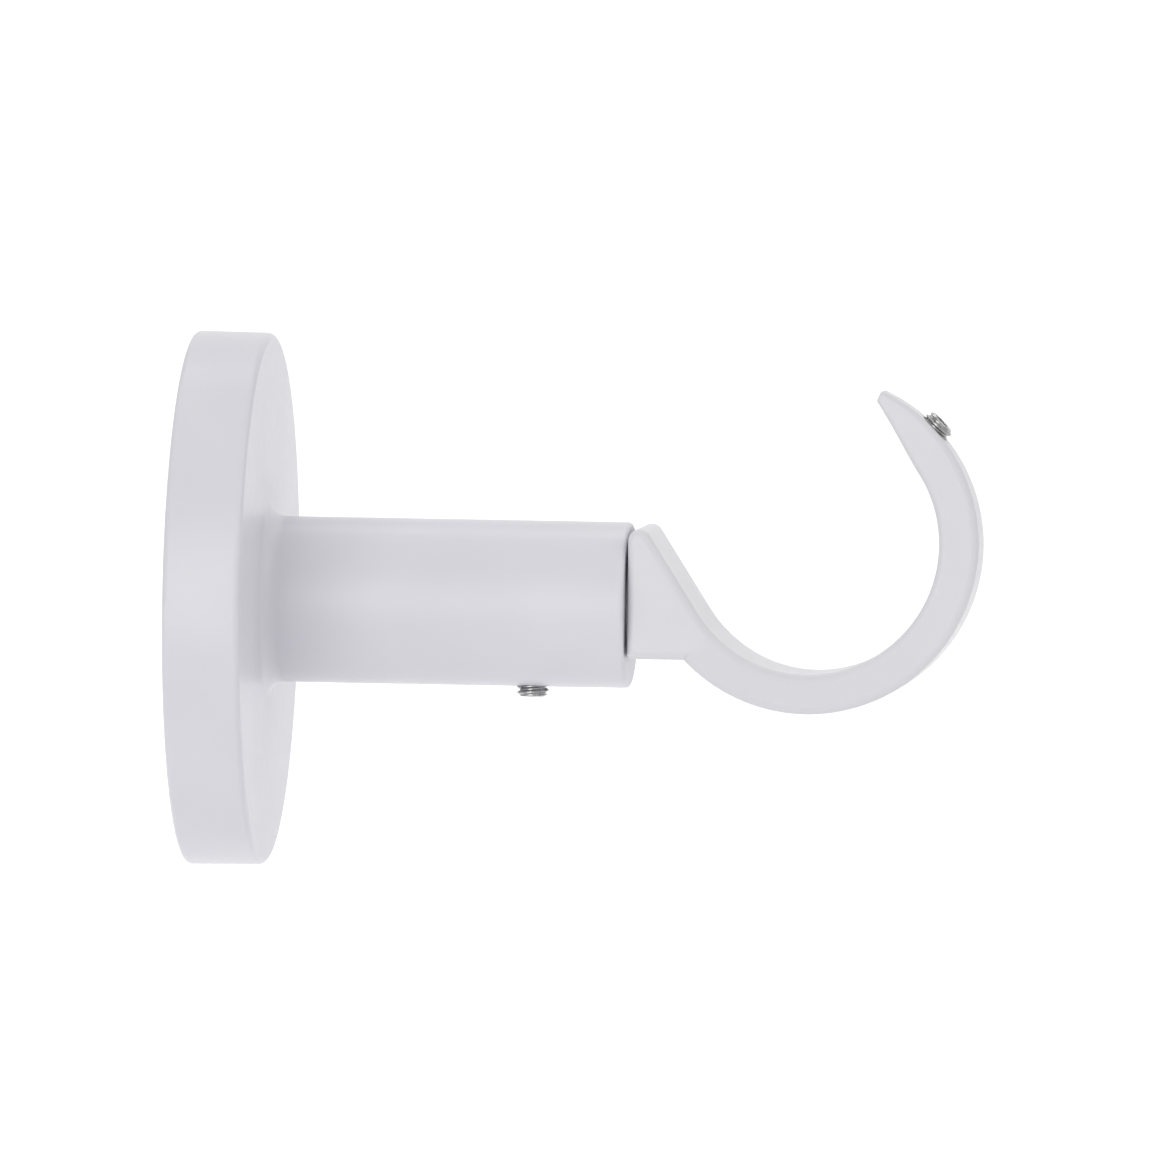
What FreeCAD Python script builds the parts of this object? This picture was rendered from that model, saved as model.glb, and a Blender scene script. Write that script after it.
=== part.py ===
# Wall bracket for a curtain pole: a hollow round rose with a bored arm, a sliding hook and their set screws.
# Millimetres. +X leaves the wall along the arm, +Y runs along the pole, +Z is up.
# The origin is the centre of the rose's back, in the plane of the wall.

import FreeCAD, Part
import math
import os
import Sketcher

MODEL = FreeCAD.newDocument("curtain_pole_bracket")
SHEET = MODEL.addObject("Spreadsheet::Sheet", "dims")
SIZES = {}


# Driving dimensions

def dimension(alias, value, meaning):
    """Add one row to the sheet: its meaning, its value and the alias that the features use."""
    row = len(SIZES) + 1
    SHEET.set("A" + str(row), meaning)
    SHEET.set("B" + str(row), str(value))
    SHEET.setAlias("B" + str(row), alias)
    SIZES[alias] = value


dimension("rose_radius", 32.5, "rose, outer radius at the wall")
dimension("rose_depth", 9.4, "rose, wall to front face")
dimension("rose_draft", 0.7, "rose, draft of the rim in degrees")
dimension("rose_rim_wall", 3.0, "rose, thickness of the rim")
dimension("rose_front_wall", 2.5, "rose, thickness of the front")
dimension("rose_edge_round", 0.8, "rose, rounding of the front edge")
dimension("rose_back_round", 0.6, "rose, rounding of the outer back edge")
dimension("rose_inner_round", 0.8, "rose, rounding inside the front corner")
dimension("root_fillet", 2.0, "fillet between rose and arm")
dimension("arm_radius", 10.1, "arm, outer radius")
dimension("arm_reach", 53.7, "arm, wall to the end face")
dimension("arm_end_round", 0.5, "arm, rounding of the end edge")
dimension("bore_chamfer", 0.4, "arm, chamfer at the mouth of the bore")
dimension("stem_radius", 6.0, "hook, radius of the stem")
dimension("stem_length", 35.0, "hook, length of the stem behind the shoulder")
dimension("stem_chamfer", 0.6, "hook, chamfer at the back of the stem")
dimension("stem_clearance", 0.08, "radial clearance of the stem in the bore")
dimension("shoulder_gap", 0.3, "arm end to the hook's shoulder")
dimension("hook_width", 16.2, "hook, width along the pole at the block")
dimension("hook_thickness", 4.85, "hook, radial thickness of the band")
dimension("hook_edge_round", 1.0, "hook, rounding of the long edges at the block")
dimension("block_drop", 6.2, "hook, arm axis down to the block's underside")
dimension("block_corner_round", 0.4, "hook, rounding of the block's lower back corner")
dimension("lobe_radius", 1.4, "hook, radius of the lobe on top of the block")
dimension("lead_in_angle", 57.5, "hook, slope of the lead-in above the horizontal in degrees")
dimension("seat_radius", 15.7, "hook, radius of the pole seat")
dimension("seat_allowance", 0.03, "hook, metal inside the seat that its finishing cut takes away")
dimension("seat_back", 6.16, "hook, shoulder to the back of the seat")
dimension("seat_drop", 7.77, "hook, arm axis down to the bottom of the seat")
dimension("tip_angle", 66.3, "hook, place of the tip round the seat in degrees")
dimension("tip_thickness", 1.44, "hook, radial thickness at the end of the tip")
dimension("taper_width", 6.1, "hook, width along the pole where the tip starts to thin")
dimension("taper_edge_round", 0.8, "hook, rounding of the long edges where the tip starts to thin")
dimension("tip_width", 4.0, "hook, width along the pole at the tip")
dimension("tip_edge_round", 0.5, "hook, rounding of the long edges at the tip")
dimension("tip_end_round", 0.3, "hook, rounding of the end of the tip")
dimension("thread_radius", 2.0, "tapped holes, radius")
dimension("screw_clearance", 0.05, "radial clearance of a set screw in its hole")
dimension("screw_length", 5.0, "set screws, length")
dimension("screw_chamfer", 0.4, "set screws, end chamfer")
dimension("screw_point_gap", 0.3, "set screw point to the face that it presses on")
dimension("socket_flats", 2.0, "set screws, hexagon socket across flats")
dimension("socket_depth", 2.0, "set screws, depth of the socket")
dimension("arm_screw_setback", 11.9, "arm screw, behind the arm's end face")
dimension("pole_screw_angle", 44.0, "pole screw, place round the seat in degrees")
dimension("pole_screw_proud", 1.15, "pole screw, height of its end above the band")
dimension("plate_front_gap", 1.0, "wall plate, its front to the inside of the rose")
dimension("plate_clearance", 0.15, "wall plate, radial clearance inside the rim")
dimension("groove_land", 0.7, "wall plate, edge left on each side of the groove")
dimension("plate_edge_chamfer", 0.3, "wall plate, chamfer of the outer edges")
dimension("wall_hole_radius", 2.25, "wall plate, radius of the screw holes")
dimension("wall_hole_spacing", 36.0, "wall plate, distance between the screw holes")
dimension("countersink_depth", 2.25, "wall plate, depth of the countersinks")
dimension("cut_overrun", 1.1, "length of the cuts through a wall, as a multiple of the wall's outer radius")
dimension("pole_hole_length", 3.0, "length of the pole screw's cut, as a multiple of the band's thickness")
MODEL.recompute()

SAME_PLACE = 0.001
LEAST_CUT = 0.01


# Helpers for sketches and selections

def origin_plane(body, role):
    """The body's own origin plane of that role."""
    for feature in body.Origin.OriginFeatures:
        if feature.Role == role:
            return feature
    raise ValueError("no origin plane " + role)


def new_sketch(body, name, role):
    """A sketch lying on one of the body's origin planes."""
    sketch = body.newObject("Sketcher::SketchObject", name)
    sketch.AttachmentSupport = [(origin_plane(body, role), "")]
    sketch.MapMode = "FlatFace"
    return sketch


def point(x, y):
    """A sketch point as a vector."""
    return FreeCAD.Vector(x, y, 0)


def polar(centre, radius, degrees):
    """The sketch point at a radius and an angle from a centre."""
    angle = math.radians(degrees)
    return point(centre.x + radius * math.cos(angle), centre.y + radius * math.sin(angle))


def add_line(sketch, start, end, construction=False):
    """Add a straight edge and return its number."""
    return sketch.addGeometry(Part.LineSegment(start, end), construction)


def add_arc(sketch, centre, radius, start_degrees, end_degrees):
    """Add an anticlockwise arc and return its number."""
    circle = Part.Circle(centre, FreeCAD.Vector(0, 0, 1), radius)
    start = math.radians(start_degrees)
    end = math.radians(end_degrees)
    return sketch.addGeometry(Part.ArcOfCircle(circle, start, end), False)


def tie(sketch, kind, *places):
    """Add a geometric constraint."""
    sketch.addConstraint(Sketcher.Constraint(kind, *places))


def drive(sketch, name, formula, kind, *places):
    """Add a named dimension and bind it to a formula on the sheet."""
    index = sketch.addConstraint(Sketcher.Constraint(kind, *places))
    sketch.renameConstraint(index, name)
    sketch.setExpression("Constraints." + name, formula)


def place_point(sketch, name, geometry, end, across, along, position):
    """Fix a sketch point by its two distances from the sketch's origin."""
    drive(sketch, name + "_across", across, "DistanceX", -1, 1, geometry, end, position.x)
    drive(sketch, name + "_along", along, "DistanceY", -1, 1, geometry, end, position.y)


def closed_outline(sketch, corners):
    """Join the corners by straight edges into a closed outline and return the edges' numbers."""
    edges = []
    for index, corner in enumerate(corners):
        following = corners[(index + 1) % len(corners)]
        edges.append(add_line(sketch, corner, following))
    for index, edge in enumerate(edges):
        tie(sketch, "Coincident", edge, 2, edges[(index + 1) % len(edges)], 1)
    return edges


def turned_outline(sketch, corners, formulas):
    """A closed outline whose corners are each fixed by a pair of formulas, for turning about an axis."""
    edges = closed_outline(sketch, corners)
    for index, pair in enumerate(formulas):
        place_point(sketch, "corner" + str(index), edges[index], 1, pair[0], pair[1], corners[index])
    return edges


def near(value, target):
    """Whether two lengths are the same to within the tolerance."""
    return abs(value - target) < SAME_PLACE


def ring_edges(shape, along_x, radius):
    """Names of the round edges about the X axis with that place and radius."""
    names = []
    for index, edge in enumerate(shape.Edges):
        if edge.Degenerated or not isinstance(edge.Curve, Part.Circle):
            continue
        curve = edge.Curve
        centred = near(curve.Center.y, 0) and near(curve.Center.z, 0)
        if centred and near(curve.Center.x, along_x) and near(curve.Radius, radius):
            names.append("Edge" + str(index + 1))
    return names


def edge_feature(body, kind, name, base, edges, size_property, formula):
    """A fillet or chamfer on named edges of a feature, with its size bound to the sheet."""
    if not edges:
        raise ValueError("no edges for " + name)
    feature = body.newObject(kind, name)
    feature.Base = (base, edges)
    feature.setExpression(size_property, formula)
    MODEL.recompute()
    return feature


def revolve(body, name, sketch, kind="PartDesign::Revolution"):
    """Turn a sketch once round its horizontal axis."""
    feature = body.newObject(kind, name)
    feature.Profile = sketch
    feature.ReferenceAxis = (sketch, ["H_Axis"])
    feature.Angle = 360
    MODEL.recompute()
    return feature


def removed(before, after):
    """Check that a cut took material away."""
    if after.Shape.Volume >= before.Shape.Volume - LEAST_CUT:
        raise ValueError(after.Name + " cuts nothing")


def new_body(label):
    """An empty body with the label that names its file."""
    body = MODEL.addObject("PartDesign::Body", label)
    body.Label = label
    return body


# Values that several pieces share

rose_slope = math.tan(math.radians(SIZES["rose_draft"]))
rose_front_radius = SIZES["rose_radius"] - SIZES["rose_depth"] * rose_slope
cavity_radius = SIZES["rose_radius"] - SIZES["rose_rim_wall"]
cavity_depth = SIZES["rose_depth"] - SIZES["rose_front_wall"]
cavity_floor_radius = cavity_radius - cavity_depth * rose_slope
plate_thickness = cavity_depth - SIZES["plate_front_gap"]
bore_radius = SIZES["stem_radius"] + SIZES["stem_clearance"]
band_outer_radius = SIZES["seat_radius"] + SIZES["hook_thickness"]
shoulder_place = SIZES["arm_reach"] + SIZES["shoulder_gap"]
seat_rise = SIZES["seat_radius"] - SIZES["seat_drop"]
seat_centre = point(shoulder_place + SIZES["seat_back"] + SIZES["seat_radius"], seat_rise)
screw_radius = SIZES["thread_radius"] - SIZES["screw_clearance"]

ROSE_FRONT_RADIUS = "dims.rose_radius - dims.rose_depth * tan(dims.rose_draft * 1 deg)"
CAVITY_RADIUS = "dims.rose_radius - dims.rose_rim_wall"
CAVITY_DEPTH = "dims.rose_depth - dims.rose_front_wall"
CAVITY_FLOOR_RADIUS = (CAVITY_RADIUS + " - (" + CAVITY_DEPTH + ") * tan(dims.rose_draft * 1 deg)")
PLATE_THICKNESS = CAVITY_DEPTH + " - dims.plate_front_gap"
GROOVE_PLACE = "(" + PLATE_THICKNESS + ") / 2"
BORE_RADIUS = "dims.stem_radius + dims.stem_clearance"
BAND_OUTER_RADIUS = "dims.seat_radius + dims.hook_thickness"
SHOULDER_PLACE = "dims.arm_reach + dims.shoulder_gap"
SEAT_PLACE = "dims.arm_reach + dims.shoulder_gap + dims.seat_back + dims.seat_radius"
SEAT_RISE = "dims.seat_radius - dims.seat_drop"
SCREW_RADIUS = "dims.thread_radius - dims.screw_clearance"


# Rose and arm, one casting

def round_hole(body, name, place, formula, place_name, length_formula):
    """A tapped hole that runs straight down from the arm's axis through whatever is below."""
    sketch = new_sketch(body, name + "_sketch", "XY_Plane")
    circle = Part.Circle(point(place, 0), FreeCAD.Vector(0, 0, 1), SIZES["thread_radius"])
    sketch.addGeometry(circle, False)
    drive(sketch, "radius", "dims.thread_radius", "Radius", 0, SIZES["thread_radius"])
    drive(sketch, place_name, formula, "DistanceX", -1, 1, 0, 3, place)
    tie(sketch, "PointOnObject", 0, 3, -1)
    before = body.Tip
    hole = body.newObject("PartDesign::Pocket", name)
    hole.Profile = sketch
    hole.setExpression("Length", length_formula)
    MODEL.recompute()
    removed(before, hole)
    return hole


def make_base_arm():
    """The hollow rose and the bored arm."""
    body = new_body("base_arm")

    outline = new_sketch(body, "outline", "XZ_Plane")
    corners = [
        point(0, 0),
        point(0, SIZES["rose_radius"]),
        point(SIZES["rose_depth"], rose_front_radius),
        point(SIZES["rose_depth"], SIZES["arm_radius"]),
        point(SIZES["arm_reach"], SIZES["arm_radius"]),
        point(SIZES["arm_reach"], 0),
    ]
    formulas = [
        ("0", "0"),
        ("0", "dims.rose_radius"),
        ("dims.rose_depth", ROSE_FRONT_RADIUS),
        ("dims.rose_depth", "dims.arm_radius"),
        ("dims.arm_reach", "dims.arm_radius"),
        ("dims.arm_reach", "0"),
    ]
    turned_outline(outline, corners, formulas)
    turned = revolve(body, "rose_and_arm", outline)

    front_edge = ring_edges(turned.Shape, SIZES["rose_depth"], rose_front_radius)
    rounded = edge_feature(body, "PartDesign::Fillet", "front_edge_round", turned, front_edge,
                           "Radius", "dims.rose_edge_round")
    back_edge = ring_edges(rounded.Shape, 0, SIZES["rose_radius"])
    rounded = edge_feature(body, "PartDesign::Fillet", "back_edge_round", rounded, back_edge,
                           "Radius", "dims.rose_back_round")
    root_edge = ring_edges(rounded.Shape, SIZES["rose_depth"], SIZES["arm_radius"])
    rooted = edge_feature(body, "PartDesign::Fillet", "arm_root_fillet", rounded, root_edge,
                          "Radius", "dims.root_fillet")
    end_edge = ring_edges(rooted.Shape, SIZES["arm_reach"], SIZES["arm_radius"])
    ended = edge_feature(body, "PartDesign::Fillet", "arm_end_rounding", rooted, end_edge,
                         "Radius", "dims.arm_end_round")

    core = new_sketch(body, "core", "XZ_Plane")
    mouth_radius = bore_radius + SIZES["bore_chamfer"]
    corners = [
        point(0, 0),
        point(0, cavity_radius),
        point(cavity_depth, cavity_floor_radius),
        point(cavity_depth, bore_radius),
        point(SIZES["arm_reach"] - SIZES["bore_chamfer"], bore_radius),
        point(SIZES["arm_reach"], mouth_radius),
        point(SIZES["arm_reach"], 0),
    ]
    formulas = [
        ("0", "0"),
        ("0", CAVITY_RADIUS),
        (CAVITY_DEPTH, CAVITY_FLOOR_RADIUS),
        (CAVITY_DEPTH, BORE_RADIUS),
        ("dims.arm_reach - dims.bore_chamfer", BORE_RADIUS),
        ("dims.arm_reach", BORE_RADIUS + " + dims.bore_chamfer"),
        ("dims.arm_reach", "0"),
    ]
    turned_outline(core, corners, formulas)
    cored = revolve(body, "cavity_and_bore", core, "PartDesign::Groove")
    removed(ended, cored)

    floor_edge = ring_edges(cored.Shape, cavity_depth, cavity_floor_radius)
    edge_feature(body, "PartDesign::Fillet", "cavity_corner_round", cored, floor_edge,
                 "Radius", "dims.rose_inner_round")

    round_hole(body, "arm_screw_hole", SIZES["arm_reach"] - SIZES["arm_screw_setback"],
               "dims.arm_reach - dims.arm_screw_setback", "arm_place", "dims.arm_radius * dims.cut_overrun")
    round_hole(body, "rim_screw_hole", plate_thickness / 2,
               GROOVE_PLACE, "rim_place", "dims.rose_radius * dims.cut_overrun")
    return body


# Wall plate

plate_radius = cavity_radius - plate_thickness * rose_slope - SIZES["plate_clearance"]
groove_depth = plate_thickness / 2 - SIZES["groove_land"]

PLATE_RADIUS = (CAVITY_RADIUS + " - (" + PLATE_THICKNESS + ") * tan(dims.rose_draft * 1 deg)"
                + " - dims.plate_clearance")
GROOVE_DEPTH = GROOVE_PLACE + " - dims.groove_land"
GROOVE_FLOOR_RADIUS = PLATE_RADIUS + " - (" + GROOVE_DEPTH + ")"
RIM_POINT_RADIUS = GROOVE_FLOOR_RADIUS + " + dims.screw_point_gap"


def make_wall_plate():
    """The round plate on the wall, with a right-angled groove round its edge for the rim screw's point."""
    body = new_body("wall_plate")

    disc = new_sketch(body, "disc", "XZ_Plane")
    land = SIZES["groove_land"]
    corners = [
        point(0, 0),
        point(0, plate_radius),
        point(land, plate_radius),
        point(plate_thickness / 2, plate_radius - groove_depth),
        point(plate_thickness - land, plate_radius),
        point(plate_thickness, plate_radius),
        point(plate_thickness, 0),
    ]
    formulas = [
        ("0", "0"),
        ("0", PLATE_RADIUS),
        ("dims.groove_land", PLATE_RADIUS),
        (GROOVE_PLACE, GROOVE_FLOOR_RADIUS),
        (PLATE_THICKNESS + " - dims.groove_land", PLATE_RADIUS),
        (PLATE_THICKNESS, PLATE_RADIUS),
        (PLATE_THICKNESS, "0"),
    ]
    turned_outline(disc, corners, formulas)
    turned = revolve(body, "grooved_disc", disc)

    holes = new_sketch(body, "holes", "YZ_Plane")
    half_spacing = SIZES["wall_hole_spacing"] / 2
    for index, side in enumerate((1, -1)):
        centre = point(0, side * half_spacing)
        circle = Part.Circle(centre, FreeCAD.Vector(0, 0, 1), SIZES["wall_hole_radius"])
        holes.addGeometry(circle, False)
        name = "hole" + str(index)
        drive(holes, name + "_radius", "dims.wall_hole_radius", "Radius", index, SIZES["wall_hole_radius"])
        place_point(holes, name, index, 3, "0", str(side) + " * dims.wall_hole_spacing / 2", centre)
    drilled = body.newObject("PartDesign::Pocket", "wall_screw_holes")
    drilled.Profile = holes
    drilled.Type = "ThroughAll"
    drilled.Reversed = True
    MODEL.recompute()
    removed(turned, drilled)

    rims = []
    for index, edge in enumerate(drilled.Shape.Edges):
        if not isinstance(edge.Curve, Part.Circle):
            continue
        curve = edge.Curve
        if near(curve.Radius, SIZES["wall_hole_radius"]) and near(curve.Center.x, plate_thickness):
            rims.append("Edge" + str(index + 1))
    sunk = edge_feature(body, "PartDesign::Chamfer", "countersinks", drilled, rims,
                        "Size", "dims.countersink_depth")
    front_edge = ring_edges(sunk.Shape, plate_thickness, plate_radius)
    edge_feature(body, "PartDesign::Chamfer", "front_edge_chamfer", sunk, front_edge,
                 "Size", "dims.plate_edge_chamfer")
    return body


# Set screws

def make_set_screw(label, cone_point):
    """A set screw about its own Z axis: the point at the origin and the hexagon socket at the far end."""
    body = new_body(label)
    length = SIZES["screw_length"]
    chamfer = SIZES["screw_chamfer"]
    if cone_point:
        point_corners = [point(0, 0), point(screw_radius, screw_radius)]
        point_formulas = [("0", "0"), (SCREW_RADIUS, SCREW_RADIUS)]
    else:
        point_corners = [point(0, 0), point(screw_radius - chamfer, 0), point(screw_radius, chamfer)]
        point_formulas = [
            ("0", "0"),
            (SCREW_RADIUS + " - dims.screw_chamfer", "0"),
            (SCREW_RADIUS, "dims.screw_chamfer"),
        ]
    head_corners = [
        point(screw_radius, length - chamfer),
        point(screw_radius - chamfer, length),
        point(0, length),
    ]
    head_formulas = [
        (SCREW_RADIUS, "dims.screw_length - dims.screw_chamfer"),
        (SCREW_RADIUS + " - dims.screw_chamfer", "dims.screw_length"),
        ("0", "dims.screw_length"),
    ]
    half = new_sketch(body, label + "_half", "XZ_Plane")
    turned_outline(half, point_corners + head_corners, point_formulas + head_formulas)
    shank = body.newObject("PartDesign::Revolution", label + "_shank")
    shank.Profile = half
    shank.ReferenceAxis = (half, ["V_Axis"])
    shank.Angle = 360
    MODEL.recompute()

    hexagon = new_sketch(body, label + "_hexagon", "XY_Plane")
    hexagon.setExpression("AttachmentOffset.Base.z", "dims.screw_length")
    corner_radius = SIZES["socket_flats"] / math.sqrt(3)
    sides = 6
    turn = 360 / sides
    middle = point(0, 0)
    corners = [polar(middle, corner_radius, turn * side) for side in range(sides)]
    edges = closed_outline(hexagon, corners)
    circle = Part.Circle(middle, FreeCAD.Vector(0, 0, 1), corner_radius)
    ring = hexagon.addGeometry(circle, True)
    tie(hexagon, "Coincident", ring, 3, -1, 1)
    drive(hexagon, "corner_radius", "dims.socket_flats / sqrt(3)", "Radius", ring, corner_radius)
    for edge in edges:
        tie(hexagon, "PointOnObject", edge, 1, ring)
    for edge in edges[1:]:
        tie(hexagon, "Equal", edges[0], edge)
    tie(hexagon, "PointOnObject", edges[0], 1, -1)
    socket = body.newObject("PartDesign::Pocket", label + "_socket")
    socket.Profile = hexagon
    socket.setExpression("Length", "dims.socket_depth")
    MODEL.recompute()
    removed(shank, socket)
    return body


def point_down(body, across, down):
    """Turn a set screw so that its socket faces down, with its point at the given place and depth."""
    body.Placement.Rotation = FreeCAD.Rotation(FreeCAD.Vector(0, 1, 0), 180)
    body.setExpression("Placement.Base.x", across)
    body.setExpression("Placement.Base.z", "-(" + down + ")")


def make_arm_grub_screw():
    """The set screw under the arm, whose point clamps the stem."""
    body = make_set_screw("arm_grub_screw", cone_point=False)
    point_down(body, "dims.arm_reach - dims.arm_screw_setback", "dims.stem_radius + dims.screw_point_gap")
    return body


def make_rim_grub_screw():
    """The cone point set screw in the underside of the rim, whose point sits in the plate's groove."""
    body = make_set_screw("rim_grub_screw", cone_point=True)
    point_down(body, GROOVE_PLACE, RIM_POINT_RADIUS)
    return body


def make_pole_grub_screw():
    """The set screw through the front of the band, aimed at the centre of the pole seat."""
    body = make_set_screw("pole_grub_screw", cone_point=False)
    body.Placement.Rotation = FreeCAD.Rotation(FreeCAD.Vector(0, 1, 0), 90 - SIZES["pole_screw_angle"])
    reach = "(" + BAND_OUTER_RADIUS + " + dims.pole_screw_proud - dims.screw_length)"
    across = reach + " * cos(dims.pole_screw_angle * 1 deg)"
    along = reach + " * sin(dims.pole_screw_angle * 1 deg)"
    body.setExpression("Placement.Base.x", SEAT_PLACE + " + " + across)
    body.setExpression("Placement.Base.z", SEAT_RISE + " + " + along)
    return body


# Hook

join_rise = SIZES["block_drop"] + seat_rise
join_angle = math.degrees(math.asin(join_rise / band_outer_radius)) - 180
lead_in_end_angle = -90 - SIZES["lead_in_angle"]
tip_inner_radius = band_outer_radius - SIZES["tip_thickness"]
thinning_angle = SIZES["tip_angle"] - math.degrees(math.acos(SIZES["seat_radius"] / tip_inner_radius))
JOIN_ANGLE = "asin((dims.block_drop + " + SEAT_RISE + ") / (" + BAND_OUTER_RADIUS + ")) - 180 deg"
TIP_INNER_RADIUS = BAND_OUTER_RADIUS + " - dims.tip_thickness"
THINNING_ANGLE = "dims.tip_angle * 1 deg - acos(dims.seat_radius / (" + TIP_INNER_RADIUS + "))"


def make_block(body):
    """The block at the arm's end: a lobe on top, a sloping lead-in and the first stretch of the seat."""
    sketch = new_sketch(body, "block_outline", "XZ_Plane")
    slope = math.radians(SIZES["lead_in_angle"])
    seat_radius = SIZES["seat_radius"]
    lobe_radius = SIZES["lobe_radius"]
    lead_in_end = polar(seat_centre, seat_radius, lead_in_end_angle)
    along = point(-math.cos(slope), math.sin(slope))
    lobe_across = shoulder_place + lobe_radius
    to_lobe = (lead_in_end.x - (lobe_across + lobe_radius * math.sin(slope))) / math.cos(slope)
    lead_in_start = lead_in_end + along * to_lobe
    lobe_centre = point(lobe_across, lead_in_start.y - lobe_radius * math.cos(slope))
    back_low = point(shoulder_place, -SIZES["block_drop"])
    back_high = point(shoulder_place, lobe_centre.y)
    join_inner = polar(seat_centre, seat_radius, join_angle)
    join_outer = polar(seat_centre, band_outer_radius, join_angle)

    back = add_line(sketch, back_low, back_high)
    lobe = add_arc(sketch, lobe_centre, lobe_radius, 90 - SIZES["lead_in_angle"], 180)
    lead_in = add_line(sketch, lead_in_start, lead_in_end)
    seat = add_arc(sketch, seat_centre, seat_radius, lead_in_end_angle, join_angle)
    join = add_line(sketch, join_inner, join_outer)
    under = add_line(sketch, join_outer, back_low)
    tie(sketch, "Tangent", back, 2, lobe, 2)
    tie(sketch, "Tangent", lobe, 1, lead_in, 1)
    tie(sketch, "Tangent", lead_in, 2, seat, 1)
    tie(sketch, "Coincident", seat, 2, join, 1)
    tie(sketch, "Coincident", join, 2, under, 1)
    tie(sketch, "Coincident", under, 2, back, 1)
    tie(sketch, "Vertical", back)
    tie(sketch, "Horizontal", under)
    tie(sketch, "PointOnObject", seat, 3, join)
    place_point(sketch, "corner", back, 1, SHOULDER_PLACE, "-dims.block_drop", back_low)
    place_point(sketch, "seat", seat, 3, SEAT_PLACE, SEAT_RISE, seat_centre)
    drive(sketch, "seat_size", "dims.seat_radius", "Radius", seat, seat_radius)
    drive(sketch, "lobe_size", "dims.lobe_radius", "Radius", lobe, lobe_radius)
    drive(sketch, "band_size", BAND_OUTER_RADIUS, "Distance", seat, 3, join, 2, band_outer_radius)
    drive(sketch, "slope", "-dims.lead_in_angle * 1 deg", "Angle", lead_in, -slope)
    MODEL.recompute()

    block = body.newObject("PartDesign::Pad", "block")
    block.Profile = sketch
    block.SideType = "Symmetric"
    block.setExpression("Length", "dims.hook_width")
    MODEL.recompute()
    return block


def round_block(body, block):
    """Round the lower back corner, then the long edges, but not those where the band joins on."""
    half_width = SIZES["hook_width"] / 2
    join_middle = polar(seat_centre, (SIZES["seat_radius"] + band_outer_radius) / 2, join_angle)
    corner_edge = []
    for index, edge in enumerate(block.Shape.Edges):
        box = edge.BoundBox
        across = near(box.XLength, 0) and near(box.ZLength, 0)
        if across and near(box.XMin, shoulder_place) and near(box.ZMin, -SIZES["block_drop"]):
            corner_edge.append("Edge" + str(index + 1))
    cornered = edge_feature(body, "PartDesign::Fillet", "block_corner", block, corner_edge,
                            "Radius", "dims.block_corner_round")
    long_edges = []
    for index, edge in enumerate(cornered.Shape.Edges):
        middle = edge.valueAt((edge.FirstParameter + edge.LastParameter) / 2)
        in_side = near(edge.BoundBox.YLength, 0) and near(abs(middle.y), half_width)
        on_join = near(middle.x, join_middle.x) and near(middle.z, join_middle.y)
        if in_side and not on_join:
            long_edges.append("Edge" + str(index + 1))
    return edge_feature(body, "PartDesign::Fillet", "block_edges", cornered, long_edges,
                        "Radius", "dims.hook_edge_round")


def band_section(body, name, place, inner, width, rounding):
    """A rounded rectangle across the band, in a plane through the seat's axis.

    place, inner, width and rounding are pairs of a value and its formula: the angle of that plane,
    the radius of the band's inner face, the width along the pole and the rounding of the long edges.
    """
    sketch = new_sketch(body, name, "YZ_Plane")
    sketch.AttachmentOffset = FreeCAD.Placement(
        FreeCAD.Vector(0, seat_centre.y, seat_centre.x),
        FreeCAD.Rotation(FreeCAD.Vector(1, 0, 0), 90 - place[0]))
    sketch.setExpression("AttachmentOffset.Base.y", SEAT_RISE)
    sketch.setExpression("AttachmentOffset.Base.z", SEAT_PLACE)
    sketch.setExpression("AttachmentOffset.Rotation.Angle", "90 deg - (" + place[1] + ")")
    half = width[0] / 2
    corner = rounding[0]
    low = inner[0]
    high = band_outer_radius
    starts = [point(half, low + corner), point(half - corner, high),
              point(-half, high - corner), point(corner - half, low)]
    ends = [point(half, high - corner), point(corner - half, high),
            point(-half, low + corner), point(half - corner, low)]
    centres = [point(half - corner, high - corner), point(corner - half, high - corner),
               point(corner - half, low + corner), point(half - corner, low + corner)]
    quarter = 90
    sides = []
    corners = []
    for index, centre in enumerate(centres):
        sides.append(add_line(sketch, starts[index], ends[index]))
        corners.append(add_arc(sketch, centre, corner, quarter * index, quarter * (index + 1)))
    for index, side in enumerate(sides):
        following = sides[(index + 1) % len(sides)]
        tie(sketch, "Tangent", side, 2, corners[index], 1)
        tie(sketch, "Tangent", corners[index], 2, following, 1)
    for other in corners[1:]:
        tie(sketch, "Equal", corners[0], other)
    tie(sketch, "Vertical", sides[0])
    tie(sketch, "Horizontal", sides[1])
    tie(sketch, "Vertical", sides[2])
    tie(sketch, "Horizontal", sides[3])
    drive(sketch, "rounding", rounding[1], "Radius", corners[0], corner)
    drive(sketch, "right", "(" + width[1] + ") / 2", "DistanceX", -1, 1, sides[0], 1, half)
    drive(sketch, "left", "-(" + width[1] + ") / 2", "DistanceX", -1, 1, sides[2], 1, -half)
    drive(sketch, "inner", inner[1], "DistanceY", -1, 1, sides[3], 1, low)
    drive(sketch, "outer", BAND_OUTER_RADIUS, "DistanceY", -1, 1, sides[1], 1, high)
    return sketch


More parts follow.
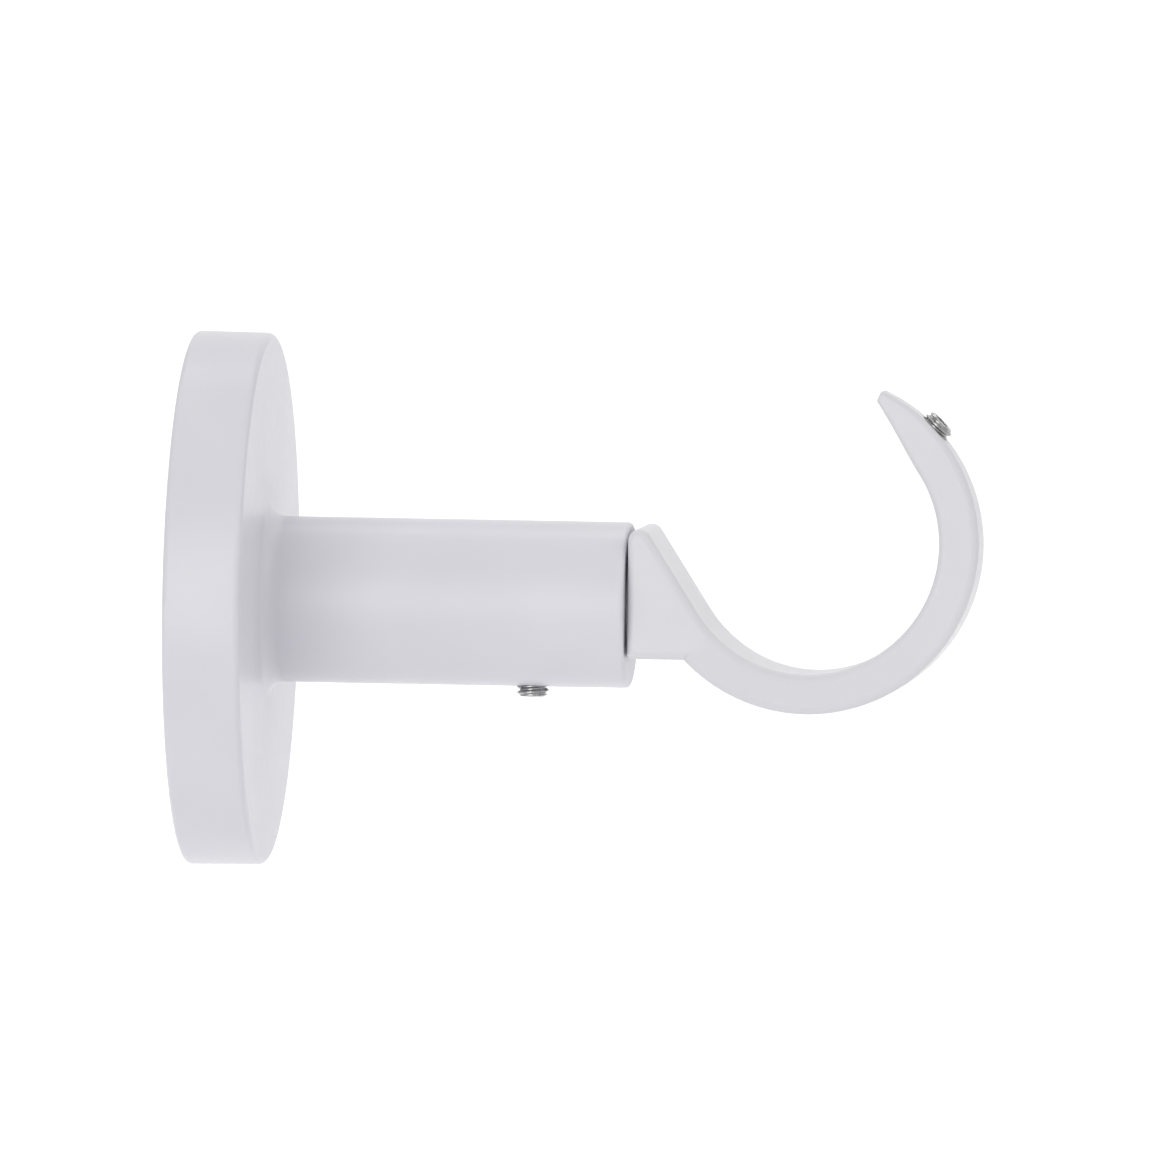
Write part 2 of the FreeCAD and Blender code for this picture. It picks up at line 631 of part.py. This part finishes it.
def band_route(body, name, start, finish):
    """An arc round the seat, midway through the band. start and finish pair an angle and its formula."""
    sketch = new_sketch(body, name, "XZ_Plane")
    radius = SIZES["seat_radius"] + SIZES["hook_thickness"] / 2
    arc = add_arc(sketch, seat_centre, radius, start[0], finish[0])
    place_point(sketch, "centre", arc, 3, SEAT_PLACE, SEAT_RISE, seat_centre)
    drive(sketch, "size", "dims.seat_radius + dims.hook_thickness / 2", "Radius", arc, radius)
    for label, end, place in (("start", 1, start), ("finish", 2, finish)):
        spoke = add_line(sketch, seat_centre, polar(seat_centre, radius, place[0]), True)
        tie(sketch, "Coincident", spoke, 1, arc, 3)
        tie(sketch, "Coincident", spoke, 2, arc, end)
        drive(sketch, label, place[1], "Angle", spoke, math.radians(place[0]))
    return sketch


def sweep_band(body, name, route, first, following):
    """Sweep the band along a route, through the sections in their order."""
    MODEL.recompute()
    sweep = body.newObject("PartDesign::AdditivePipe", name)
    sweep.Profile = first
    sweep.Spine = (route, ["Edge1"])
    sweep.Sections = following
    sweep.Mode = "Frenet"
    sweep.Transformation = "Multisection"
    MODEL.recompute()
    return sweep


def make_band(body):
    """The band round the seat. Its width tapers evenly to where the tip starts.

    From there its inner face leaves the seat at a tangent and runs straight, so that the tip thins.
    """
    join = (join_angle, JOIN_ANGLE)
    thinning = (thinning_angle, THINNING_ANGLE)
    tip = (SIZES["tip_angle"], "dims.tip_angle * 1 deg")
    halfway = ((thinning[0] + tip[0]) / 2, "(" + thinning[1] + " + " + tip[1] + ") / 2")

    def straight_inner(place):
        """The radius at which the straight inner face crosses that plane."""
        turn = math.radians(place[0] - thinning[0])
        formula = "dims.seat_radius / cos(" + place[1] + " - (" + thinning[1] + "))"
        return (SIZES["seat_radius"] / math.cos(turn), formula)

    def size(alias):
        """The value and the formula of one size."""
        return (SIZES[alias], "dims." + alias)

    def mean(first, second):
        """The value and the formula midway between two sizes."""
        return ((SIZES[first] + SIZES[second]) / 2, "(dims." + first + " + dims." + second + ") / 2")

    rough_seat = (SIZES["seat_radius"] - SIZES["seat_allowance"], "dims.seat_radius - dims.seat_allowance")
    root_section = band_section(body, "root_section", join, rough_seat,
                                size("hook_width"), size("hook_edge_round"))
    taper_section = band_section(body, "taper_section", thinning, rough_seat,
                                 size("taper_width"), size("taper_edge_round"))
    middle_section = band_section(body, "middle_section", halfway, straight_inner(halfway),
                                  mean("taper_width", "tip_width"),
                                  mean("taper_edge_round", "tip_edge_round"))
    tip_section = band_section(body, "tip_section", tip, straight_inner(tip),
                               size("tip_width"), size("tip_edge_round"))
    seat_route = band_route(body, "seat_route", join, thinning)
    tip_route = band_route(body, "tip_route", thinning, tip)
    sweep_band(body, "seat_band", seat_route, root_section, [taper_section])
    return sweep_band(body, "tip_band", tip_route, taper_section, [middle_section, tip_section])


def round_tip(body, band):
    """Round the edges of the end face."""
    end_normal = polar(point(0, 0), 1, SIZES["tip_angle"] + 90)
    names = []
    for face in band.Shape.Faces:
        if not isinstance(face.Surface, Part.Plane):
            continue
        normal = face.normalAt(0, 0)
        if not near(normal.x, end_normal.x) or not near(normal.z, end_normal.y):
            continue
        for edge in face.Edges:
            for index, candidate in enumerate(band.Shape.Edges):
                if candidate.isSame(edge):
                    names.append("Edge" + str(index + 1))
    return edge_feature(body, "PartDesign::Fillet", "tip_end", band, names,
                        "Radius", "dims.tip_end_round")


def finish_seat(body):
    """Bring the seat to a true cylinder round the pole."""
    sketch = new_sketch(body, "seat_circle", "XZ_Plane")
    circle = Part.Circle(seat_centre, FreeCAD.Vector(0, 0, 1), SIZES["seat_radius"])
    sketch.addGeometry(circle, False)
    place_point(sketch, "centre", 0, 3, SEAT_PLACE, SEAT_RISE, seat_centre)
    drive(sketch, "size", "dims.seat_radius", "Radius", 0, SIZES["seat_radius"])
    before = body.Tip
    seat = body.newObject("PartDesign::Pocket", "seat_cut")
    seat.Profile = sketch
    seat.SideType = "Symmetric"
    seat.setExpression("Length", "dims.hook_width * dims.cut_overrun")
    MODEL.recompute()
    removed(before, seat)
    return seat


def make_stem(body):
    """The round stem behind the block, with a chamfered back end."""
    sketch = new_sketch(body, "stem_circle", "YZ_Plane")
    sketch.setExpression("AttachmentOffset.Base.z", SHOULDER_PLACE)
    circle = Part.Circle(point(0, 0), FreeCAD.Vector(0, 0, 1), SIZES["stem_radius"])
    sketch.addGeometry(circle, False)
    tie(sketch, "Coincident", 0, 3, -1, 1)
    drive(sketch, "size", "dims.stem_radius", "Radius", 0, SIZES["stem_radius"])
    stem = body.newObject("PartDesign::Pad", "stem")
    stem.Profile = sketch
    stem.Reversed = True
    stem.setExpression("Length", "dims.stem_length")
    MODEL.recompute()
    back_edge = ring_edges(stem.Shape, shoulder_place - SIZES["stem_length"], SIZES["stem_radius"])
    return edge_feature(body, "PartDesign::Chamfer", "stem_end", stem, back_edge,
                        "Size", "dims.stem_chamfer")


def pole_screw_hole(body):
    """The tapped hole through the band, aimed at the centre of the seat."""
    sketch = new_sketch(body, "pole_screw_half", "XZ_Plane")
    angle = SIZES["pole_screw_angle"]
    thread_radius = SIZES["thread_radius"]
    length = SIZES["pole_hole_length"] * SIZES["hook_thickness"]
    start = polar(seat_centre, SIZES["seat_radius"] - SIZES["hook_thickness"], angle)
    end = polar(start, length, angle)
    end_side = polar(end, thread_radius, angle + 90)
    start_side = polar(start, thread_radius, angle + 90)
    edges = closed_outline(sketch, [start, end, end_side, start_side])
    inner = "(dims.seat_radius - dims.hook_thickness)"
    place_point(sketch, "start", edges[0], 1,
                SEAT_PLACE + " + " + inner + " * cos(dims.pole_screw_angle * 1 deg)",
                SEAT_RISE + " + " + inner + " * sin(dims.pole_screw_angle * 1 deg)", start)
    drive(sketch, "lean", "dims.pole_screw_angle * 1 deg", "Angle", edges[0], math.radians(angle))
    tie(sketch, "Perpendicular", edges[0], edges[1])
    tie(sketch, "Perpendicular", edges[1], edges[2])
    tie(sketch, "Perpendicular", edges[2], edges[3])
    drive(sketch, "length", "dims.pole_hole_length * dims.hook_thickness", "Distance", edges[0], length)
    drive(sketch, "radius", "dims.thread_radius", "Distance", edges[1], thread_radius)
    axis = add_line(sketch, start, end, True)
    tie(sketch, "Coincident", axis, 1, edges[0], 1)
    tie(sketch, "Coincident", axis, 2, edges[0], 2)
    MODEL.recompute()
    before = body.Tip
    hole = body.newObject("PartDesign::Groove", "pole_screw_hole")
    hole.Profile = sketch
    hole.ReferenceAxis = (sketch, ["Axis0"])
    hole.Angle = 360
    MODEL.recompute()
    removed(before, hole)
    return hole


def make_hook():
    """The stem, the block and the tapering band, one casting."""
    body = new_body("hook")
    block = make_block(body)
    round_block(body, block)
    band = make_band(body)
    round_tip(body, band)
    finish_seat(body)
    make_stem(body)
    pole_screw_hole(body)
    return body


# Build, check and write each piece

PIECES = (
    make_base_arm(),
    make_wall_plate(),
    make_hook(),
    make_arm_grub_screw(),
    make_pole_grub_screw(),
    make_rim_grub_screw(),
)
MODEL.recompute()

for item in MODEL.Objects:
    if "Invalid" in item.State or "Error" in item.State:
        raise ValueError(item.Name + " is not sound")
for piece in PIECES:
    if piece.Shape.isNull() or not piece.Shape.isValid():
        raise ValueError(piece.Label + " has no valid shape")
    if len(piece.Shape.Solids) != 1:
        raise ValueError(piece.Label + " is not one solid")

os.makedirs("parts", exist_ok=True)
for piece in PIECES:
    piece.Shape.exportStep("parts/" + piece.Label + ".step")
    print(piece.Label, round(piece.Shape.Volume, 1))
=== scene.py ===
"""Looks of a white curtain pole bracket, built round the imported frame.

Metres, +X out of the wall along the arm, +Y along the pole, +Z up.
"""

import math

import bmesh
import bpy
from mathutils import Matrix, Vector


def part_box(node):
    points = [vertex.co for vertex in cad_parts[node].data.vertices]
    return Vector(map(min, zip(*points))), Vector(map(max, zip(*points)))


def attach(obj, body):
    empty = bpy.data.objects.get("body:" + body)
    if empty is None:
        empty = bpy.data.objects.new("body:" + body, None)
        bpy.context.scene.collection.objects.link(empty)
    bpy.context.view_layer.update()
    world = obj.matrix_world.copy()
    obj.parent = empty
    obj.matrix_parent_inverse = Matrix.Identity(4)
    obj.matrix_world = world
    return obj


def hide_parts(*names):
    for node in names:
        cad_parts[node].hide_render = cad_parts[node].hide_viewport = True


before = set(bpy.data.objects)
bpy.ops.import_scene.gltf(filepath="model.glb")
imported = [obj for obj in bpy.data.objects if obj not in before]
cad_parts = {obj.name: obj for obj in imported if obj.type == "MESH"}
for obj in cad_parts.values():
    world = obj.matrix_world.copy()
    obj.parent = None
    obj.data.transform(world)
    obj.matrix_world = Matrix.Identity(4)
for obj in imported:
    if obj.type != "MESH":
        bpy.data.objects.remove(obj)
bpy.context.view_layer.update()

MM = 0.001
scene = bpy.context.scene


# Materials

NOISE_LOW = 0.3
NOISE_HIGH = 0.7
BLEND_START = 0.35
BLEND_END = 0.65


def new_material(name):
    """A material with its Principled shader, its nodes and its links."""
    material = bpy.data.materials.new(name)
    material.use_nodes = True
    nodes = material.node_tree.nodes
    links = material.node_tree.links
    return material, nodes["Principled BSDF"], nodes, links


def object_noise(nodes, links, scale, detail, roughness=0.5):
    """Noise in the object's own metres. The scale is in features per metre."""
    place = nodes.new("ShaderNodeTexCoord")
    noise = nodes.new("ShaderNodeTexNoise")
    noise.inputs["Scale"].default_value = scale
    noise.inputs["Detail"].default_value = detail
    noise.inputs["Roughness"].default_value = roughness
    links.new(place.outputs["Object"], noise.inputs["Vector"])
    return noise.outputs["Fac"]


def spread(nodes, links, source, low, high):
    """Map the middle of a noise onto a range."""
    ranged = nodes.new("ShaderNodeMapRange")
    ranged.inputs["From Min"].default_value = NOISE_LOW
    ranged.inputs["From Max"].default_value = NOISE_HIGH
    ranged.inputs["To Min"].default_value = low
    ranged.inputs["To Max"].default_value = high
    links.new(source, ranged.inputs["Value"])
    return ranged.outputs["Result"]


def two_tones(nodes, links, source, first, second):
    """Blend two colours by a noise."""
    ramp = nodes.new("ShaderNodeValToRGB")
    ramp.color_ramp.elements[0].position = BLEND_START
    ramp.color_ramp.elements[0].color = (*first, 1.0)
    ramp.color_ramp.elements[1].position = BLEND_END
    ramp.color_ramp.elements[1].color = (*second, 1.0)
    links.new(source, ramp.inputs["Fac"])
    return ramp.outputs["Color"]


def bumped(nodes, links, height, strength, distance, before=None):
    """A bump from a height, laid over another one."""
    bump = nodes.new("ShaderNodeBump")
    bump.inputs["Strength"].default_value = strength
    bump.inputs["Distance"].default_value = distance
    links.new(height, bump.inputs["Height"])
    if before is not None:
        links.new(before, bump.inputs["Normal"])
    return bump.outputs["Normal"]


def satin_paint(name, first, second):
    """White powder coat: a soft satin gloss, a faint orange peel and a hardly visible drift in tone."""
    material, shader, nodes, links = new_material(name)
    drift = object_noise(nodes, links, scale=60.0, detail=2.0)
    peel = object_noise(nodes, links, scale=900.0, detail=2.0)
    grain = object_noise(nodes, links, scale=4000.0, detail=2.0)
    links.new(two_tones(nodes, links, drift, first, second), shader.inputs["Base Color"])
    links.new(spread(nodes, links, peel, low=0.34, high=0.42), shader.inputs["Roughness"])
    shader.inputs["IOR"].default_value = 1.5
    shader.inputs["Specular IOR Level"].default_value = 0.42
    shader.inputs["Coat Weight"].default_value = 0.06
    shader.inputs["Coat Roughness"].default_value = 0.28
    normal = bumped(nodes, links, peel, strength=0.10, distance=0.02 * MM)
    normal = bumped(nodes, links, grain, strength=0.06, distance=0.004 * MM, before=normal)
    links.new(normal, shader.inputs["Normal"])
    return material


def zinc_steel(name, first, second, smoothest, roughest, patch_scale):
    """Zinc plated steel: a grey metal with a fine grain and patches of duller plating."""
    material, shader, nodes, links = new_material(name)
    patches = object_noise(nodes, links, scale=patch_scale, detail=4.0, roughness=0.6)
    grain = object_noise(nodes, links, scale=9000.0, detail=3.0)
    links.new(two_tones(nodes, links, patches, first, second), shader.inputs["Base Color"])
    links.new(spread(nodes, links, patches, smoothest, roughest), shader.inputs["Roughness"])
    shader.inputs["Metallic"].default_value = 1.0
    links.new(bumped(nodes, links, grain, strength=0.12, distance=0.006 * MM), shader.inputs["Normal"])
    return material


ROSE_PAINT = satin_paint("rose_paint", (0.660, 0.652, 0.702), (0.682, 0.675, 0.716))
HOOK_PAINT = satin_paint("hook_paint", (0.664, 0.658, 0.692), (0.684, 0.678, 0.708))
PLATE_STEEL = zinc_steel("plate_steel", (0.44, 0.45, 0.47), (0.56, 0.57, 0.58),
                         smoothest=0.30, roughest=0.44, patch_scale=300.0)
SCREW_STEEL = zinc_steel("screw_steel", (0.32, 0.32, 0.32), (0.54, 0.54, 0.54),
                         smoothest=0.24, roughest=0.36, patch_scale=1500.0)

for node, material in (
    ("base_arm", ROSE_PAINT),
    ("hook", HOOK_PAINT),
    ("wall_plate", PLATE_STEEL),
    ("arm_grub_screw", SCREW_STEEL),
    ("pole_grub_screw", SCREW_STEEL),
    ("rim_grub_screw", SCREW_STEEL),
):
    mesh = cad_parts[node].data
    mesh.materials.clear()
    mesh.materials.append(material)


# Camera, at the photograph's angle: a long lens, a little in front of the side and a little above

AZIMUTH = math.radians(6.12)
ELEVATION = math.radians(3.0)
ROLL = math.radians(0.72)
DISTANCE = 4.5
PHOTO_WIDTH = 1160
PIXEL_SIZE = 0.1217
FIELD = PHOTO_WIDTH * PIXEL_SIZE * MM
AIM = Vector((47.4, 0.0, 2.94)) * MM


def make_camera():
    """The camera, turned about its own axis so that the arm slopes down a little to the right."""
    back = Vector((math.sin(AZIMUTH) * math.cos(ELEVATION),
                   -math.cos(AZIMUTH) * math.cos(ELEVATION),
                   math.sin(ELEVATION)))
    level = Vector((math.cos(AZIMUTH), math.sin(AZIMUTH), 0.0))
    upright = back.cross(level)
    right = level * math.cos(ROLL) + upright * math.sin(ROLL)
    up = upright * math.cos(ROLL) - level * math.sin(ROLL)
    data = bpy.data.cameras.new("camera")
    data.sensor_fit = "HORIZONTAL"
    data.sensor_width = 36.0
    data.lens = data.sensor_width * DISTANCE / FIELD
    data.clip_start = 0.05
    data.clip_end = 60.0
    camera = bpy.data.objects.new("camera", data)
    turn = Matrix((right, up, back)).transposed().to_4x4()
    camera.matrix_world = Matrix.Translation(AIM + back * DISTANCE) @ turn
    scene.collection.objects.link(camera)
    scene.camera = camera


make_camera()


# Stage and light

def pale_paper(name, colour, roughness):
    """The floor's pale matt paper, with the faintest drift in tone."""
    material, shader, nodes, links = new_material(name)
    drift = object_noise(nodes, links, scale=3.0, detail=2.0)
    darker = tuple(0.985 * part for part in colour)
    links.new(two_tones(nodes, links, drift, darker, colour), shader.inputs["Base Color"])
    shader.inputs["Roughness"].default_value = roughness
    return material


def shade_smooth(mesh):
    """Shade all the faces of a mesh smooth."""
    for polygon in mesh.polygons:
        polygon.use_smooth = True


def make_floor():
    """A wide pale sheet that lies below the bracket and rises behind it in one sweep."""
    level = -0.30
    half_width = 6.0
    near_edge = -4.0
    bend_start = 2.2
    bend_radius = 1.6
    bend_steps = 24
    height = 4.0
    profile = [(place, level) for place in (near_edge, -1.0, 0.0, 1.0)]
    for step in range(bend_steps + 1):
        angle = math.pi / 2 * step / bend_steps
        profile.append((bend_start + bend_radius * math.sin(angle),
                        level + bend_radius * (1 - math.cos(angle))))
    profile.append((bend_start + bend_radius, level + height))
    columns = (-half_width, -half_width / 3, half_width / 3, half_width)
    vertices = [(x, y, z) for x in columns for y, z in profile]
    count = len(profile)
    faces = []
    for column in range(len(columns) - 1):
        for row in range(count - 1):
            first = column * count + row
            faces.append((first, first + count, first + count + 1, first + 1))
    mesh = bpy.data.meshes.new("floor")
    mesh.from_pydata(vertices, [], faces)
    shade_smooth(mesh)
    mesh.materials.append(pale_paper("pale_floor", (0.93, 0.93, 0.935), roughness=0.9))
    floor = bpy.data.objects.new("floor", mesh)
    scene.collection.objects.link(floor)


def add_light(name, place, target, width, height, power, colour):
    """A soft light of that width and height at a place, aimed at a target."""
    data = bpy.data.lights.new(name, "AREA")
    data.shape = "RECTANGLE"
    data.size = width
    data.size_y = height
    data.energy = power
    data.color = colour
    light = bpy.data.objects.new(name, data)
    aim = (Vector(target) - Vector(place)).to_track_quat("-Z", "Y")
    light.matrix_world = Matrix.Translation(place) @ aim.to_matrix().to_4x4()
    scene.collection.objects.link(light)


def add_room_light(strength):
    """An even white light from all round."""
    world = bpy.data.worlds.new("soft_room")
    world.use_nodes = True
    background = world.node_tree.nodes["Background"]
    background.inputs["Color"].default_value = (1.0, 1.0, 1.0, 1.0)
    background.inputs["Strength"].default_value = strength
    scene.world = world


BRACKET_MIDDLE = (0.045, 0.0, 0.0)
BACKDROP_FOOT = (0.0, 3.4, -0.1)

make_floor()
add_light("key", place=(-0.5, -1.55, -0.04), target=BRACKET_MIDDLE,
          width=1.0, height=1.6, power=11.0, colour=(1.0, 0.998, 0.995))
add_light("side_fill", place=(1.25, -0.35, 0.8), target=BRACKET_MIDDLE,
          width=1.0, height=1.0, power=1.8, colour=(1.0, 0.995, 0.99))
add_light("backdrop_wash", place=(0.0, 0.9, 1.6), target=BACKDROP_FOOT,
          width=1.8, height=1.8, power=44.0, colour=(1.0, 1.0, 1.0))
add_room_light(strength=0.722)
scene.view_settings.view_transform = "Standard"


# Set screws: a thread, a hexagon socket and a cupped or a cone point. Their sizes are in millimetres

SCREW_LENGTH = 5.0
THREAD_PITCH = 0.7
THREAD_CREST = 1.95
THREAD_ROOT = 1.60
ROOT_FLAT = 0.22
CREST_FLAT = 0.20
END_CHAMFER = 0.42
END_RADIUS = THREAD_CREST - END_CHAMFER
CONE_TIP_RADIUS = 0.02
CUP_RIM = 0.12
CUP_FLOOR_RADIUS = END_RADIUS * 0.4
CUP_DEPTH = 0.32
SOCKET_FLATS = 2.0
SOCKET_DEPTH = 1.8
SOCKET_MOUTH_FLATS = 2.24
SOCKET_CHAMFER_DEPTH = 0.08
DRILL_RADIUS = 0.5
DRILL_DEPTH = 0.15
CREASE_ANGLE = math.radians(38)
ROWS_PER_PITCH = 14
COLUMNS = 72
ANGLES = [2 * math.pi * column / COLUMNS for column in range(COLUMNS)]


def polar(radius, angle, height):
    """The point at a radius and an angle about Z, at a height."""
    return (radius * math.cos(angle), radius * math.sin(angle), height)


def round_ring(radius, height):
    """A plain ring of points."""
    return [polar(radius, angle, height) for angle in ANGLES]


def hexagon_ring(flats, height):
    """A ring of points on a hexagon of that width across its flats."""
    ring = []
    for angle in ANGLES:
        off_flat = angle % (math.pi / 3) - math.pi / 6
        ring.append(polar(flats / 2 / math.cos(off_flat), angle, height))
    return ring


def thread_height(phase):
    """How far from root to crest the thread stands at that phase of one pitch, from 0 to 1."""
    flank = (1.0 - ROOT_FLAT - CREST_FLAT) / 2
    if phase < ROOT_FLAT:
        return 0.0
    if phase < ROOT_FLAT + flank:
        return (phase - ROOT_FLAT) / flank
    if phase < ROOT_FLAT + flank + CREST_FLAT:
        return 1.0
    return 1.0 - (phase - ROOT_FLAT - flank - CREST_FLAT) / flank


def thread_ring(height, cone):
    """A ring of points on the thread, as far as the end chamfers or the cone of the point leave it."""
    socket_end_cut = END_RADIUS + (SCREW_LENGTH - height)
    point_cut = height + CONE_TIP_RADIUS if cone else END_RADIUS + height
    ring = []
    for column, angle in enumerate(ANGLES):
        phase = (height / THREAD_PITCH - column / COLUMNS) % 1.0
        radius = THREAD_ROOT + (THREAD_CREST - THREAD_ROOT) * thread_height(phase)
        ring.append(polar(min(radius, socket_end_cut, point_cut), angle, height))
    return ring


def screw_rings(cone):
    """The rings of a set screw about Z, from its point at the origin to the bottom of its socket."""
    rings = []
    if not cone:
        rings.append(round_ring(CUP_FLOOR_RADIUS, CUP_DEPTH))
        rings.append(round_ring(END_RADIUS - CUP_RIM, 0.0))
    rows = round(SCREW_LENGTH / THREAD_PITCH * ROWS_PER_PITCH)
    for row in range(rows + 1):
        rings.append(thread_ring(SCREW_LENGTH * row / rows, cone))
    rings.append(hexagon_ring(SOCKET_MOUTH_FLATS, SCREW_LENGTH))
    rings.append(hexagon_ring(SOCKET_FLATS, SCREW_LENGTH - SOCKET_CHAMFER_DEPTH))
    rings.append(hexagon_ring(SOCKET_FLATS, SCREW_LENGTH - SOCKET_DEPTH))
    rings.append(round_ring(DRILL_RADIUS, SCREW_LENGTH - SOCKET_DEPTH - DRILL_DEPTH))
    return rings


def screw_mesh(name, cone):
    """A closed skin through the rings of a set screw."""
    bm = bmesh.new()
    made = [[bm.verts.new(Vector(corner) * MM) for corner in ring] for ring in screw_rings(cone)]
    for lower, upper in zip(made, made[1:]):
        for column in range(COLUMNS):
            following = (column + 1) % COLUMNS
            bm.faces.new((lower[column], lower[following], upper[following], upper[column]))
    bm.faces.new(list(reversed(made[0])))
    bm.faces.new(made[-1])
    bmesh.ops.recalc_face_normals(bm, faces=bm.faces)
    mesh = bpy.data.meshes.new(name)
    bm.to_mesh(mesh)
    bm.free()
    shade_smooth(mesh)
    mesh.set_sharp_from_angle(angle=CREASE_ANGLE)
    mesh.materials.append(SCREW_STEEL)
    return mesh


def place_screw(name, node, body, outward, cone=False, turn=0.0):
    """A detailed set screw in place of a CAD one. Outward is its socket's side, turn is in radians."""
    mesh = screw_mesh(name, cone)
    low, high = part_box(node)
    outward = Vector(outward).normalized()
    point = (low + high) / 2 - outward * SCREW_LENGTH / 2 * MM
    upright = Vector((0.0, 1.0, 0.0))
    side = upright.cross(outward)
    basis = Matrix((side, upright, outward)).transposed().to_4x4()
    mesh.transform(Matrix.Translation(point) @ basis @ Matrix.Rotation(turn, 4, "Z"))
    screw = bpy.data.objects.new(name, mesh)
    scene.collection.objects.link(screw)
    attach(screw, body)
    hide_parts(node)


DOWN = (0.0, 0.0, -1.0)
POLE_SCREW_ANGLE = math.radians(44.0)
OUT_OF_CRADLE = (math.cos(POLE_SCREW_ANGLE), 0.0, math.sin(POLE_SCREW_ANGLE))

place_screw("arm_set_screw", "arm_grub_screw", "arm_screw", DOWN, turn=0.3)
place_screw("pole_set_screw", "pole_grub_screw", "pole_screw", OUT_OF_CRADLE, turn=0.9)
place_screw("rim_set_screw", "rim_grub_screw", "rim_screw", DOWN, cone=True, turn=0.5)
